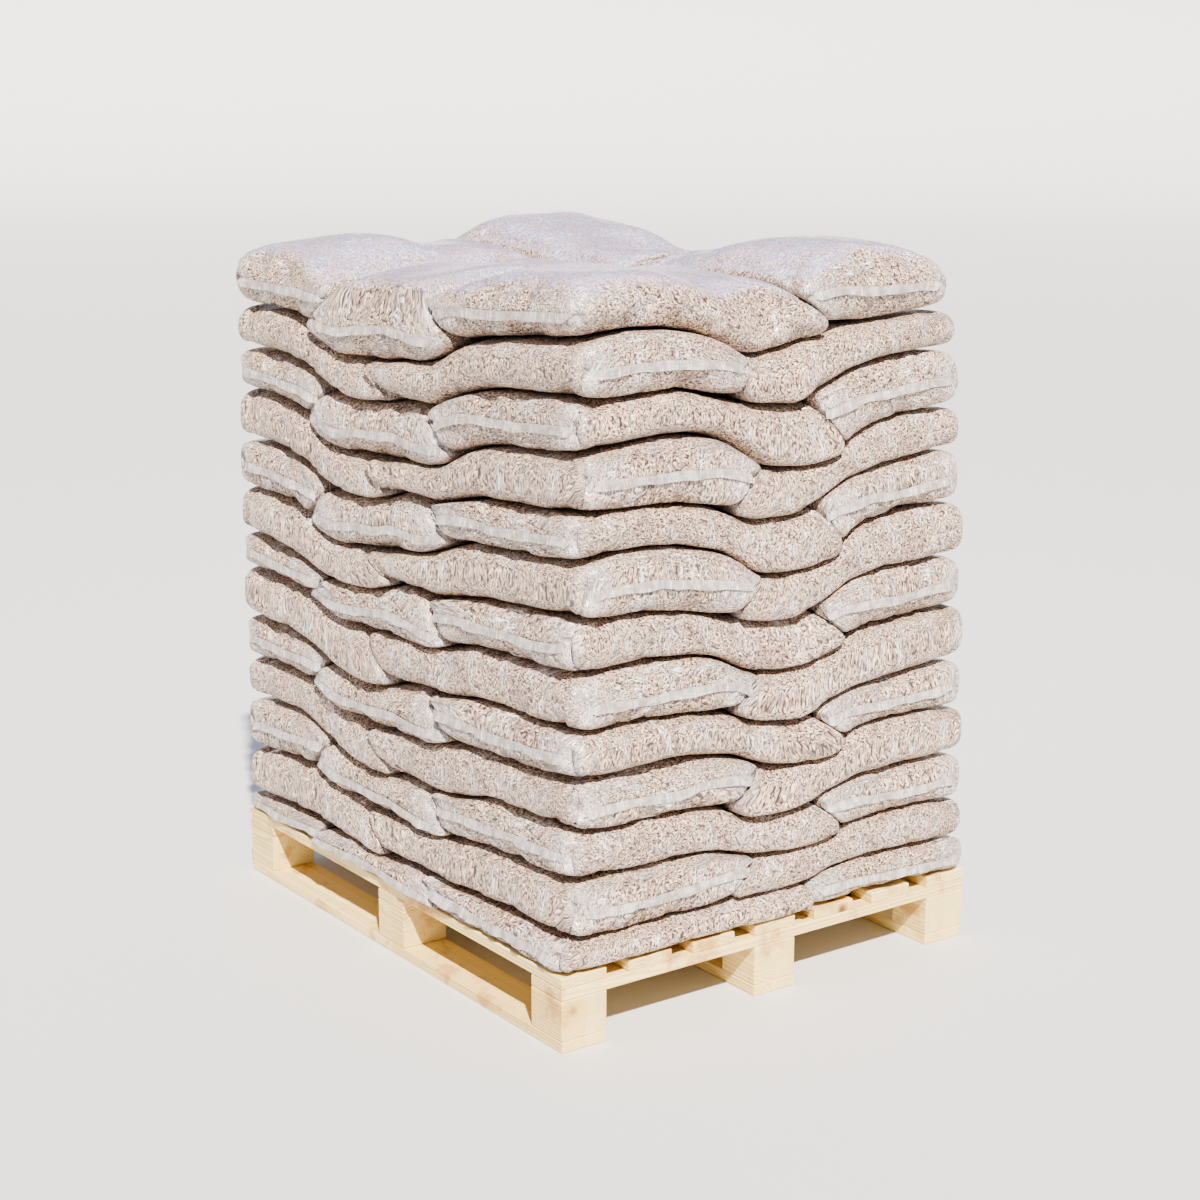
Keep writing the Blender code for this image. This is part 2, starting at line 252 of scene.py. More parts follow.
def pelletPattern(film, place):
    # rods in several directions: how high the uppermost one is, its tone and how round it is here
    rods = pelletLook
    radius, cell = rods["radius"], rods["cell"]
    top, tone, lit = None, None, None
    for step in range(rods["directions"]):
        turn = math.pi * (step + rods["extraTurn"] * (step % 2)) / rods["directions"]
        move = (rods["cellMove"][0] * step, rods["cellMove"][1] * step, 0)
        turned = film.mapped(place, move=move, turn=turn, size=(*cell, 1))
        cells = film.node("ShaderNodeTexVoronoi", {"voronoi_dimensions": "2D"},
                          {"Vector": turned, "Scale": 1.0}, "Color")
        offset = film.vector("SUBTRACT", turned, film.other(cells, "Position"))
        offset = film.vector("MULTIPLY", offset, (cell[0] / radius, cell[1] / radius, 0))
        chances = film.axes(cells)
        alongRod, acrossRod, _ = film.axes(offset)
        acrossRod = acrossRod + alongRod * (chances[2] - 0.5) * rods["splay"]
        length = rods["shortest"] + rods["longer"] * chances[1]
        beyond = (abs(alongRod) - (rods["halfLength"] / radius) * length).most(0.0)
        roundness = (1 - (beyond * beyond + acrossRod * acrossRod)).most(0.0).root()
        height = roundness * rods["dome"] + chances[0] * rods["piled"]
        height = height * (roundness > rods["outline"])
        if top is None:
            top, tone, lit = height, chances[1], roundness
        else:
            above = height > top
            tone = tone + above * (chances[1] - tone)
            lit = lit + above * (roundness - lit)
            top = top.most(height)
    return top, tone, lit


def pelletFilmFinish():
    film = Finish("pelletsInFilm")
    rods, look = pelletLook, filmLook
    pattern = film.uv("pattern")
    wobble = film.node("ShaderNodeTexNoise", {"noise_dimensions": "2D"},
                       {"Vector": pattern, "Scale": rods["bendScale"], "Detail": 1.0}, "Color")
    wobble = film.vector("SUBTRACT", wobble, (0.5, 0.5, 0.5))
    bent = film.vector("ADD", pattern, film.vector("MULTIPLY", wobble, (rods["bend"], rods["bend"], 0)))
    top, tone, lit = pelletPattern(film, bent)
    stops = [(stop, rods[key]) for stop, key in ((0.0, "grey"), (0.3, "pink"), (0.7, "pale"), (1.0, "cream"))]
    color = film.node("ShaderNodeValToRGB", {"stops": stops}, {0: tone})
    # painted shade: each rod darkens towards the gap colour at its rims and where it lies deeper than the others
    shade = lit.between(*rods["edgeShade"]) * top.between(*rods["depthShade"])
    color = film.mix(shade, rods["gapShade"], color)
    # where the film stands off: along the seams, at the corners, in wrinkles and in a thin veil all over
    along, around, _ = film.axes(film.uv("film"))
    fromFold = abs(around).least(sack["halfRound"] - abs(around))
    nearSeam = abs(along).between(*look["seamZone"])
    nearCorner = nearSeam * fromFold.between(*look["cornerZone"])
    ridges = film.noise(film.mapped(pattern, size=look["ridgeSize"]), 1.0, 2.0, 0.6, 0.4)
    hoops = film.noise(film.mapped(pattern, move=(5.0, 2.0, 0), size=look["hoopSize"]), 1.0, 2.0, 0.6, 0.5)
    clumps = film.noise(film.mapped(pattern, move=(1.0, 7.0, 0)), look["clumpScale"], 1.0)
    pleated = nearSeam * clumps.between(*look["pleatClumps"]) + nearCorner * look["cornerPleats"]
    pleats = ridges.between(*look["pleat"]) * pleated.least(1.0)
    creases = pleats.most(hoops.between(*look["hoop"]) * clumps.between(*look["hoopClumps"]))
    veil = clumps.between(*look["veil"]) + nearCorner * ridges.between(*look["cornerVeil"])
    color = film.mix(veil, color, look["haze"])
    # dust and a painted sky reflection on the upward faces at the top of the stack
    place = film.node("ShaderNodeNewGeometry", None, None, "Position")
    highUp = film.axes(place)[2].between(*look["topOfStack"])
    upward = film.axes(film.other(place, "Normal"))[2]
    dustAndSkySheen = film.mix(clumps.between(*look["dustAndSheenPatches"]), *look["dustAndSkySheen"])
    color = film.mix(upward.between(*look["upwardSkySheen"]) * highUp, color, dustAndSkySheen)
    # painted glints: the film's creases are whitened as if they caught the sun
    color = film.mix(creases * look["creaseGlintShare"], color, look["creaseGlint"])
    film.surface("Base Color", color)
    film.surface("Roughness", look["roughness"] - creases * look["creaseGloss"])
    film.surface("Coat Weight", look["coat"])
    film.surface("Coat Roughness", look["coatRoughness"])
    film.surface("Coat IOR", look["coatIor"])
    pelletBumps = film.bump(top, rods["relief"])
    film.surface("Normal", film.bump(ridges * nearSeam + creases, look["relief"], pelletBumps))
    return film.material


seamLook = {
    "lineSize": (0.050, 0.0011, 1), "wrinkleSize": (0.006, 0.030, 1), "cloudScale": 45.0,
    "clear": (0.36, 0.31, 0.28), "cloudy": (0.66, 0.61, 0.58), "clouds": (0.3, 0.7),
    "white": (0.92, 0.92, 0.93), "wrinkles": (0.56, 0.66, 0.0, 0.8),
    "dark": (0.22, 0.19, 0.17), "lines": (0.35, 0.60, 0.45, 0.0),
    "roughness": (0.2, 0.8, 0.32, 0.48), "coat": 0.3, "coatRoughness": 0.25, "lineRelief": 0.0004, "relief": 0.0016,
}


def seamFinish():
    weld = Finish("seamFilm")
    look = seamLook
    place = weld.uv("strip")
    lines = weld.noise(weld.mapped(place, size=look["lineSize"]), 1.0, 1.0)
    wrinkles = weld.noise(weld.mapped(place, size=look["wrinkleSize"]), 1.0, 2.0, 0.6)
    cloudy = weld.noise(place, look["cloudScale"], 3.0)
    color = weld.mix(cloudy.between(*look["clouds"]), look["clear"], look["cloudy"])
    color = weld.mix(wrinkles.between(*look["wrinkles"]), color, look["white"])
    color = weld.mix(lines.between(*look["lines"]), color, look["dark"])
    weld.surface("Base Color", color)
    weld.surface("Roughness", cloudy.between(*look["roughness"]))
    weld.surface("Coat Weight", look["coat"])
    weld.surface("Coat Roughness", look["coatRoughness"])
    normal = weld.bump(lines, look["lineRelief"])
    weld.surface("Normal", weld.bump(wrinkles, look["relief"], normal))
    return weld.material


# sacks

palletLength, palletWidth = 1.200, 1.000  # metres, as the frame's pallet
endX, endY = palletLength / 2, palletWidth / 2

stack = {
    "layers": 13, "pitch": 0.095,
    "baseZ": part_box("deck_board_1")[1].z + 0.0003,
    "taperX": 0.020, "taperY": 0.048, "nearRecess": 0.058, "recessGrowth": 5.0,
    "seenShift": 1.44, "seenDrop": 0.42, "middleSag": 0.012, "middleLayer": 7.5, "sagLayers": 3.0,
    "layersToSettle": 3.5, "lowFarCorners": 0.030, "topSettled": 0.80, "topBackRise": 0.020, "topDraw": 0.060,
    "topBumps": ((-0.45, -0.15, 0.25, 0.020), (-0.50, 0.08, 0.12, 0.010), (-0.30, 0.30, 0.20, -0.014),
                 (-0.12, 0.35, 0.12, -0.016), (0.58, 0.48, 0.12, -0.020)),
    "unevenness": 0.0035, "clearance": 0.0006, "overhang": 0.012, "boxyFoot": 0.40,
}

# where the layers meet, along the front from left to right and along the right side from front to
# back, for even and for odd layers: by turns a place and how far it is above the even level, in
# millimetres; each kind of layer has the other kind's edges at its back and left
edges = {
    "front": ((-600, -24, -520, -29, -400, -35, -310, -43, -260, -57, -190, -83, -120, -83, -20, -86, 50, -76,
               140, -72, 190, -58, 240, -40, 300, -18, 400, -7, 500, 2, 600, 18),
              (-600, -24, -520, -28, -400, -32, -320, -42, -270, -58, -215, -76, -150, -80, -50, -75, 30, -58,
               100, -50, 170, -52, 220, -38, 270, -27, 330, -12, 400, -5, 500, 3, 600, 16)),
    "right": ((-500, -4, -417, 6, -293, 12, -221, 12, -169, 0, -118, -22, -87, -42, -56, -60, 16, -72, 78, -74,
               130, -66, 171, -48, 202, -22, 254, -9, 326, -3, 430, 8, 500, 10),
              (-500, -4, -417, -8, -293, -8, -211, -10, -159, -27, -113, -49, -66, -58, -4, -62, 58, -63, 109, -46,
               151, -20, 202, 0, 275, 10, 347, 13, 450, 21, 500, 22)),
    "softened": 16.0, "pull": 0.020,
}

# how far single layers lie off those edges, along the front and along the right side, by turns as above
shifts = {
    1: ((-600, -27, -440, -26, -250, -23, -150, -15, -45, -22, 100, -21, 180, -28, 450, -29, 600, -34),
        (-500, -36, -370, -38, -230, -34, -170, -26, -115, -16, -60, -9, -25, -14, 100, -10, 235, -1, 465, -8)),
    2: ((-585, -18, -435, -8, -295, 4, -230, -5, -80, -13, 110, -14, 260, -19, 375, -23, 600, -20),
        (-470, -19, -375, -25, -235, -26, -175, -19, -100, -19, 45, -21, 205, -18, 345, -21, 480, -27)),
    3: ((-580, -2, -405, 7, -265, -6, -85, -24, 130, -25, 190, -29, 270, -22, 315, -15, 465, -18, 600, -20),
        (-465, -23, -380, -25, -240, -22, -180, -19, -125, -9, -85, -31, 115, -32, 250, -32, 450, -34)),
    4: ((-565, -1, -310, 5, -120, -14, 95, -5, 175, 2, 265, -14, 320, -20, 460, -25, 570, -20),
        (-385, -26, -245, -28, -185, -22, -140, -15, -110, -9, -70, -6, -40, -18, 145, -31, 210, -17, 340, -22,
         480, -28)),
    5: ((-580, 0, -270, -9, -75, -14, 90, -4, 150, -6, 260, -8, 315, -14, 455, -23, 565, -24),
        (-390, -22, -250, -24, -190, -15, -125, 1, -75, -15, 115, -39, 255, -43, 460, -30)),
    6: ((-550, 13, -285, 16, -115, 16, 92, 13, 260, 6, 315, -1, 450, -9, 570, -13),
        (-395, -19, -250, -22, -190, -15, -145, -8, -60, -13, 70, -10, 195, -9, 340, -11, 470, -6)),
    7: ((-575, -5, -495, -5, -415, -12, -335, -18, -280, -16, -235, -6, -165, 0, -85, 5, -25, 15, 55, 8, 225, 4,
         420, 0, 505, -4),
        (-340, -4, -240, -12, -140, 3, -20, -8, 90, -17, 120, -20, 205, -14, 280, -7, 475, -8)),
    8: ((-585, -2, -500, -2, -410, 2, -355, 6, -305, -24, -230, -15, -125, -4, -15, 5, 60, 10, 130, 20, 180, 22,
         290, 8, 385, 7, 505, 2),
        (-340, 3, -265, -3, -195, -3, -125, 9, -80, -1, -40, -12, 40, -4, 120, -5, 170, -18, 200, 5, 280, 9,
         455, 10)),
    9: ((-585, 2, -495, 6, -405, -2, -325, -5, -270, -10, -195, -4, -70, -2, -15, 10, 55, 4, 225, -1, 325, -5,
         500, -6),
        (-340, -2, -245, -7, -145, 10, -80, -7, -15, -5, 120, -11, 215, -5, 310, 2, 470, 7)),
    10: ((-580, 15, -505, 13, -425, 7, -330, 4, -290, -22, -225, -14, -120, -11, 95, -7, 160, -12, 200, -3, 355, 1,
          500, -3),
         (-340, 0, -270, 1, -195, 9, -135, 21, -80, 19, -35, -1, 40, 0, 120, -8, 185, -30, 220, -8, 310, -1, 475, 4)),
    11: ((-580, 3, -480, 4, -395, -4, -240, -5, -70, -1, -10, -9, 90, -15, 165, 0, 230, 4, 500, 2),
         (-340, -1, -265, 2, -190, 12, -125, 21, -60, 15, 5, 13, 85, -1, 150, -6, 220, -1, 315, 7, 470, 7)),
    12: ((-575, -6, -450, 4, -355, -1, -320, -16, -245, -14, -150, -14, -40, -8, 65, -7, 145, -1, 185, 7, 265, 4,
          390, 4, 505, -5),
         (-340, 2, -275, -2, -215, 0, -155, 8, -100, 12, -50, 8, 20, 22, 105, 30, 185, 12, 250, -1, 470, -2)),
}

# the shell that the cloth starts from; lengths in metres
shell = {
    "halfLong": 0.300, "halfWide": 0.200, "halfThick": 0.0475,
    "endRings": 8, "endRadius": 0.045, "endBulge": 0.9, "middleRings": 40, "crowdedEnds": 0.22,
    "sidePoints": 9, "flatPoints": 24,
    "shorter": 0.99, "narrower": 0.985, "thinner": 0.96, "narrowSeam": 0.10, "squareness": 20, "jitter": 0.0015,
}

# what each kind of sack is filled with, and how the filled sack is fitted into its place
sack = {
    "frames": 20, "pressures": (0.8, 0.6, 1.0, 0.7, 0.9), "extraFilm": (0.06, 0.05, 0.05, 0.07, 0.045),
    "farthestMove": 0.045, "halfRound": 0.454,
    "topLimit": 0.070, "fullness": 0.43, "looseLayers": 1.2,
    "endZone": (0.20, 0.30), "endLift": 0.04, "liftFades": 0.6,
    "cornerZone": ((0.215, 0.30), (0.11, 0.20)), "thinCorner": 0.08, "seamHeight": 0.46,
    "stretched": (1.01, 1.02), "shove": 0.004, "turn": 0.006,
    "joints": {"left": (-0.300, -0.300), "right": (0.146, 0.146), "back": (0.078, 0.140), "meeting": (0.068, 0.0)},
    "leans": {"left": 0.040, "right": 0.050, "back": 0.048, "meeting": 0.057},
    "ownJoints": {1: {"back": (0.088, 0.012)}, 12: {"back": (0.078, 0.014)},
                  13: {"left": (-0.275, 0.066), "back": (0.118, 0.050)}},
    "tipZone": (0.20, 1.0), "overTip": 0.9, "underTip": 0.9, "tuck": 0.028, "tuckedPart": 0.30,
    "leanZone": (0.45, 1.0), "pressedFurther": 0.026, "pressZone": (0.3, 0.8), "softPress": 0.009,
}


def turnOf(layer):
    return 1 if layer % 2 else -1  # each second layer is turned half round


def jointOf(layer, key):
    # where the sacks meet at half their height, and how far the contact leans from there
    usual = (sack["joints"][key][layer % 2], sack["leans"][key])
    return sack["ownJoints"].get(layer, {}).get(key, usual)


def sackPlan(layer):
    # the room of each sack between the joints, and the way from its inner end to its outer one
    turn = turnOf(layer)
    left, right, back, meeting = (jointOf(layer, key)[0] for key in ("left", "right", "back", "meeting"))
    rooms = {"left": (-endX, left, -endY, back), "middle": (left, right, -endY, back),
             "right": (right, endX, -endY, back),
             "backLeft": (-endX, meeting, back, endY), "backRight": (meeting, endX, back, endY)}
    plan = []
    for place, (x0, x1, y0, y1) in rooms.items():
        outside = {"left": 1, "middle": 0, "right": -1, "backLeft": 1, "backRight": -1}[place]
        along = (outside * turn, 0.0) if place.startswith("back") else (0.0, turn)
        room = (x1 - x0, y1 - y0) if place.startswith("back") else (y1 - y0, x1 - x0)
        middle = (turn * (x0 + x1) / 2, turn * (y0 + y1) / 2)
        plan.append({"place": place, "mid": middle, "along": along, "room": room, "outside": outside})
    return plan


def uneven(layer, x, y):
    # slow waves over a layer, other ones in each, from -1 to 1
    phase = 1.7 * layer
    waves = np.sin(9.1 * x + 2.3 * phase) * np.sin(10.3 * y + phase)
    return (waves + 0.6 * np.sin(17.0 * x - 13.0 * y + 3.1 * phase)) / 1.6


def edgeCurve(points):
    # a soft line through the points, from millimetres to metres
    fine = np.arange(-620.0, 621.0, 4.0)
    weights = np.exp(-0.5 * ((fine[:, None] - fine) / edges["softened"]) ** 2)
    heights = np.interp(fine, points[::2], points[1::2])
    return fine / 1000, weights @ heights / weights.sum(axis=1) / 1000


edgeCurves = {edge: [edgeCurve(points) for points in edges[edge]] for edge in ("front", "right")}
shiftCurves = {layer: [edgeCurve(points) for points in both] for layer, both in shifts.items()}


def edgeHeight(edge, kind, place):
    return np.interp(place, *edgeCurves[edge][kind])


def amongSides(heights, x, y):
    # from the heights at the front, right, back and left: the nearer a side is, the more it counts
    pulls = [(np.maximum(away, 0) + edges["pull"]) ** -2 for away in (y + endY, endX - x, endY - y, endX + x)]
    return sum(height * pull for height, pull in zip(heights, pulls)) / sum(pulls)


def layerShift(layer, x, y):
    if layer not in shiftCurves:
        return 0.0
    front, right = shiftCurves[layer]
    return amongSides((np.interp(x, *front), np.interp(y, *right), right[1][-1], front[1][0]), x, y)


def nearRecess(level, x, y):
    # the front draws back towards the near corner, more with each layer
    grown = stack["nearRecess"] * (1 - np.exp(-level / stack["recessGrowth"]))
    return grown * (0.5 + x / palletLength) * (0.5 - y / palletWidth)


def settledHeight(kind, x, y, recess):
    other = 1 - kind
    backStep = edgeHeight("right", kind, endY) - edgeHeight("front", other, -endX)
    leftStep = edgeHeight("front", kind, -endX) - edgeHeight("right", other, endY)
    front = edgeHeight("front", kind, x + stack["seenShift"] * recess) - stack["seenDrop"] * recess
    right = edgeHeight("right", kind, y + recess)
    back = edgeHeight("front", other, -x) + backStep * (0.5 + x / palletLength)
    left = edgeHeight("right", other, -y) + leftStep * (0.5 - y / palletWidth)
    return amongSides((front, right, back, left), x, y)


def topOfLayer(layer, x, y):
    grown = 1 - math.exp(-layer / stack["layersToSettle"])
    near = (0.5 + x / palletLength) * (0.5 - y / palletWidth)
    height = grown * settledHeight(layer % 2, x, y, nearRecess(layer, x, y))
    height = height + stack["unevenness"] * grown * uneven(layer, x, y)
    if layer == stack["layers"]:  # nothing presses on the last layer
        height = stack["topSettled"] * height + stack["topBackRise"] * (0.5 + y / palletWidth)
        for bumpX, bumpY, spread, rise in stack["topBumps"]:
            height = height + rise * np.exp(-((x - bumpX) ** 2 + (y - bumpY) ** 2) / spread ** 2)
    if layer:
        height = height - stack["lowFarCorners"] * (1 - grown) * (1 - near)
        fromMiddle = (layer - stack["middleLayer"]) / stack["sagLayers"]
        height = height - stack["middleSag"] * math.exp(-fromMiddle ** 2)
        height = height + layerShift(layer, x, y)
    return stack["baseZ"] + layer * stack["pitch"] + height


def softLimit(value, limit, power):
    return value / (1 + np.abs(value / limit) ** power) ** (1 / power)


def smoothStep(value, low, high):
    t = np.clip((value - low) / (high - low), 0, 1)
    return t * t * (3 - 2 * t)


def sackRings():
    # stations along the film tube, closed to a seam at both ends, and points round half of it
    long, wide, thick, radius = (shell[key] for key in ("halfLong", "halfWide", "halfThick", "endRadius"))
    ends = []
    for k in range(shell["endRings"] + 1):
        angle = math.pi / 2 * k / shell["endRings"]
        ends.append((long - radius * (1 - math.cos(angle)), math.sin(angle) ** shell["endBulge"]))
    reach, crowded = long - radius, shell["crowdedEnds"]
    middle = []
    for k in range(1, shell["middleRings"]):
        t = 2 * k / shell["middleRings"] - 1
        middle.append((reach * ((1 + crowded) * t - crowded * t ** 3), 1.0))
    rows = [(-x, height) for x, height in ends] + middle + ends[::-1]
    fold = []
    for k in range(shell["sidePoints"] + 1):
        angle = math.pi / 2 * k / shell["sidePoints"]
        fold.append(((wide - thick) + thick * math.cos(angle), thick * math.sin(angle)))
    steps = shell["flatPoints"]
    flat = [(-(wide - thick) + 2 * (wide - thick) * (k / steps), thick) for k in range(1, steps)]
    return rows, [(-y, z) for y, z in fold] + flat + fold[::-1]


def runs(grid, axis):
    # how far each point of a grid is from the first one, from point to point along an axis
    steps = np.linalg.norm(np.diff(grid, axis=axis), axis=-1)
    return np.concatenate((np.zeros_like(steps.take([0], axis=axis)), np.cumsum(steps, axis=axis)), axis=axis)


def sackShell(seed):
    # a slightly small sack: two sheets that share their side folds and their end seams
    rows, points = sackRings()
    chance = random.Random(seed)
    film = bmesh.new()
    grid = []
    for index, (x, height) in enumerate(rows):
        upper, lower = [], []
        narrow = 1 - shell["narrowSeam"] * (1 - height) ** 2
        for k, (y, z) in enumerate(points):
            p, q, square = abs(x) / shell["halfLong"], abs(y) / shell["halfWide"], shell["squareness"]
            rounding = max(p, q) / max(1e-6, (p ** square + q ** square) ** (1 / square))
            spotX, spotY = x * rounding * shell["shorter"], y * narrow * rounding * shell["narrower"]
            rise, jitter = z * height * shell["thinner"], shell["jitter"] * (chance.random() - 0.5)
            upper.append(film.verts.new((spotX, spotY, rise + jitter)))
            shared = index in (0, len(rows) - 1) or k in (0, len(points) - 1)
            lower.append(upper[-1] if shared else film.verts.new((spotX, spotY, jitter - rise)))
        grid.append((upper, lower))
    film.verts.index_update()
    ids = np.array([[[vert.index for vert in sheet] for sheet in pair] for pair in grid])
    filmMap = film.loops.layers.uv.new("film")
    film.loops.layers.uv.new("pattern")
    alongFilm = runs(np.array([(x, shell["halfThick"] * height) for x, height in rows]), 0)
    alongFilm = alongFilm - alongFilm[-1] / 2
    roundFilm = runs(np.array(points), 0)
    for sheet, sign in ((0, 1), (1, -1)):
        for i in range(len(rows) - 1):
            for k in range(len(points) - 1):
                corners = [(i, k), (i + 1, k), (i + 1, k + 1), (i, k + 1)][::sign]
                face = film.faces.new([grid[row][sheet][column] for row, column in corners])
                for loop, (row, column) in zip(face.loops, corners):
                    loop[filmMap].uv = (alongFilm[row], sign * roundFilm[column])
    bmesh.ops.recalc_face_normals(film, faces=film.faces)
    mesh = bpy.data.meshes.new("sackShell")
    film.to_mesh(mesh)
    film.free()
    return mesh, ids


def selectOnly(*objects):
    bpy.ops.object.select_all(action="DESELECT")
    for obj in objects:
        obj.select_set(True)
    bpy.context.view_layer.objects.active = objects[0]


def fillSack(kind):
    # cloth pressure fills the film; the seams hold it, so pleats run away from them
    mesh, ids = sackShell(kind)
    obj = addObject("sackShell", mesh)
    start = np.array([vert.co[:] for vert in mesh.vertices])
    held = obj.vertex_groups.new(name="seams")
    held.add([int(index) for index in set(ids[0, 0]) | set(ids[-1, 0])], 1.0, "REPLACE")
    cloth = obj.modifiers.new("Film", "CLOTH")
    film = cloth.settings
    film.quality = 6
    film.mass = 0.3
    film.tension_stiffness = film.compression_stiffness = 15
    film.shear_stiffness = 5
    film.bending_stiffness = 0.4
    film.use_pressure = True
    film.uniform_pressure_force = sack["pressures"][kind]
    film.effector_weights.gravity = 0
    film.shrink_min = -sack["extraFilm"][kind]
    film.vertex_group_mass = held.name
    film.pin_stiffness = 0.3
    cloth.point_cache.frame_start, cloth.point_cache.frame_end = 1, sack["frames"]
    for step in range(1, sack["frames"] + 1):
        bpy.context.scene.frame_set(step)
    selectOnly(obj)
    bpy.ops.object.modifier_apply(modifier=cloth.name)
    bpy.context.scene.frame_set(1)
    filled = np.array([vert.co[:] for vert in obj.data.vertices])
    move = filled - start
    length = np.linalg.norm(move, axis=1, keepdims=True)
    filled = start + move * np.minimum(1, sack["farthestMove"] / np.maximum(length, 1e-9))
    print(f"sack kind {kind}: film moved {length.mean():.3f} m on average, {length.max():.3f} m at most")
    bpy.data.objects.remove(obj)
    return {"mesh": mesh, "shape": filled, "ids": ids}


# the joints beside each sack: the way it faces there, and whether it lies over (1) or under (-1) its neighbour
neighbours = {
    "left": (("left", 1, 1),), "middle": (("left", -1, -1), ("right", 1, -1)), "right": (("right", -1, 1),),
    "backLeft": (("meeting", 1, 1),), "backRight": (("meeting", -1, -1),),
}


def sackJoints(layer, plan, chances):
    # a point on each joint, the way out and how the contact leans
    turn = turnOf(layer)
    at = {key: jointOf(layer, key)[0] * turn for key in sack["joints"]}
    lean = {key: jointOf(layer, key)[1] * (0.85 + 0.3 * chance) for key, chance in zip(sack["joints"], chances)}
    midX, midY = plan["mid"]
    facing = -1 if plan["place"].startswith("back") else 1
    joints = [((at[key], midY), (way * turn, 0), over * lean[key]) for key, way, over in neighbours[plan["place"]]]
    return joints + [((midX, at["back"]), (0, facing * turn), -facing * lean["back"])]


def setPattern(mesh, placed, ids, shift):
    # the pattern follows the shaped film: metres from the middle ring and from the outer fold
    grid = placed[ids]
    caps, middle = shell["endRings"], ids.shape[2] // 2
    along = runs(grid, 0)
    along = along - along[len(along) // 2]
    around = runs(grid, 2)
    half = around[:, :, middle].copy()  # at the ends it runs level from the middle, not from the fold
    around[:caps] += (half[caps] - half[:caps])[:, :, None]
    around[-caps:] += (half[-caps - 1] - half[-caps:])[:, :, None]
    perSheet = np.zeros((2, len(placed), 2))
    for sheet in (0, 1):
        perSheet[sheet, ids[:, sheet]] = np.stack((along[:, sheet], around[:, sheet]), axis=-1)
    film = np.empty(2 * len(mesh.loops), np.float32)
    mesh.uv_layers["film"].uv.foreach_get("vector", film)
    side = np.sign(film[1::2])
    verts = np.empty(len(mesh.loops), np.int32)
    mesh.loops.foreach_get("vertex_index", verts)
    spots = perSheet[(side < 0).astype(int), verts]
    spots[:, 1] *= side
    mesh.uv_layers["pattern"].uv.foreach_set("vector", (spots + shift).astype(np.float32).ravel())


def sackHeights(layer, x, y, z):
    # how high each point of a filled sack lies in its layer, 0 at the bottom and 1 at the top
    limit = shell["halfThick"]
    if layer == stack["layers"]:
        limit = np.where(z > 0, sack["topLimit"], limit)
    height = softLimit(z, limit, 4) / shell["halfThick"]
    fullness = 1 - (1 - sack["fullness"]) * (1 - math.exp((layer - stack["layers"]) / sack["looseLayers"]))
    if layer == 1:  # its foot is pressed flat by all the others
        fullness = np.where(z > 0, fullness, stack["boxyFoot"])
    height = 0.5 + 0.5 * np.sign(height) * np.abs(height) ** fullness
    fading = 1 - sack["liftFades"] * np.clip(np.abs(y) / shell["halfWide"], 0, 1) ** 3
    lift = sack["endLift"] * (smoothStep(np.abs(x), *sack["endZone"]) * fading)
    height = np.sign(height) * np.abs(height) ** (1 - lift)
    zoneX, zoneY = sack["cornerZone"]
    corner = smoothStep(np.abs(x), *zoneX) * smoothStep(np.abs(y), *zoneY)
    return sack["seamHeight"] + (height - sack["seamHeight"]) * (1 - sack["thinCorner"] * corner)


def pressOn(height, spot, middle, joint):
    # one side of the sack rounds off and leans on its neighbour, or under it
    point, way, lean = joint
    way = np.array(way, float)
    halfSize = (np.array(point) - middle) @ way
    reach = ((spot - middle) @ way) / halfSize
    tip = smoothStep(reach, *sack["tipZone"])
    if lean > 0:  # this edge lies on its neighbour's, so its fold rises
        height = np.where(height < 1, 1 - np.abs(1 - height) ** (1 + sack["overTip"] * tip), height)
    else:
        height = np.where((height > 0) & (height < 1), np.abs(height) ** (1 + sack["underTip"] * tip), height)
    beyond = (height if lean > 0 else 1 - height) - (1 - sack["tuckedPart"])
    slant = lean * (2 * height - 1) - sack["tuck"] * np.clip(beyond / sack["tuckedPart"], 0, 1) ** 2
    outwards = smoothStep(reach, *sack["leanZone"]) * (slant + sack["pressedFurther"])
    spot = spot + outwards[:, None] * way
    over = (spot - np.array(point)) @ way - slant + stack["clearance"]
    pressedIn = 0.5 * (over + np.sqrt(over ** 2 + sack["softPress"] ** 2))
    return height, spot - (pressedIn * smoothStep(reach, *sack["pressZone"]))[:, None] * way


def laidInStack(layer, height, planX, planY):
    # between the layer below and the one above, in the stack's settled outline
    if layer == 1:
        planX, planY = planX * (1 + stack["overhang"]), planY * (1 + stack["overhang"])
    bottom = topOfLayer(layer - 1, planX, planY) + stack["clearance"]
    upper = topOfLayer(layer, planX, planY) - stack["clearance"]
    z = bottom + (upper - bottom) * height
    level = layer - 1 + np.clip(height, 0, 1)
    rise = level / stack["layers"]
    planY = planY + nearRecess(level, planX, planY)
    planX = planX * (1 - stack["taperX"] * rise * (planX > 0))
    drawn = 1 - stack["taperY"] * rise - stack["topDraw"] * rise ** 8
    planY = (planY + palletWidth / 2) * drawn - palletWidth / 2
    return np.column_stack((planX, planY, z))


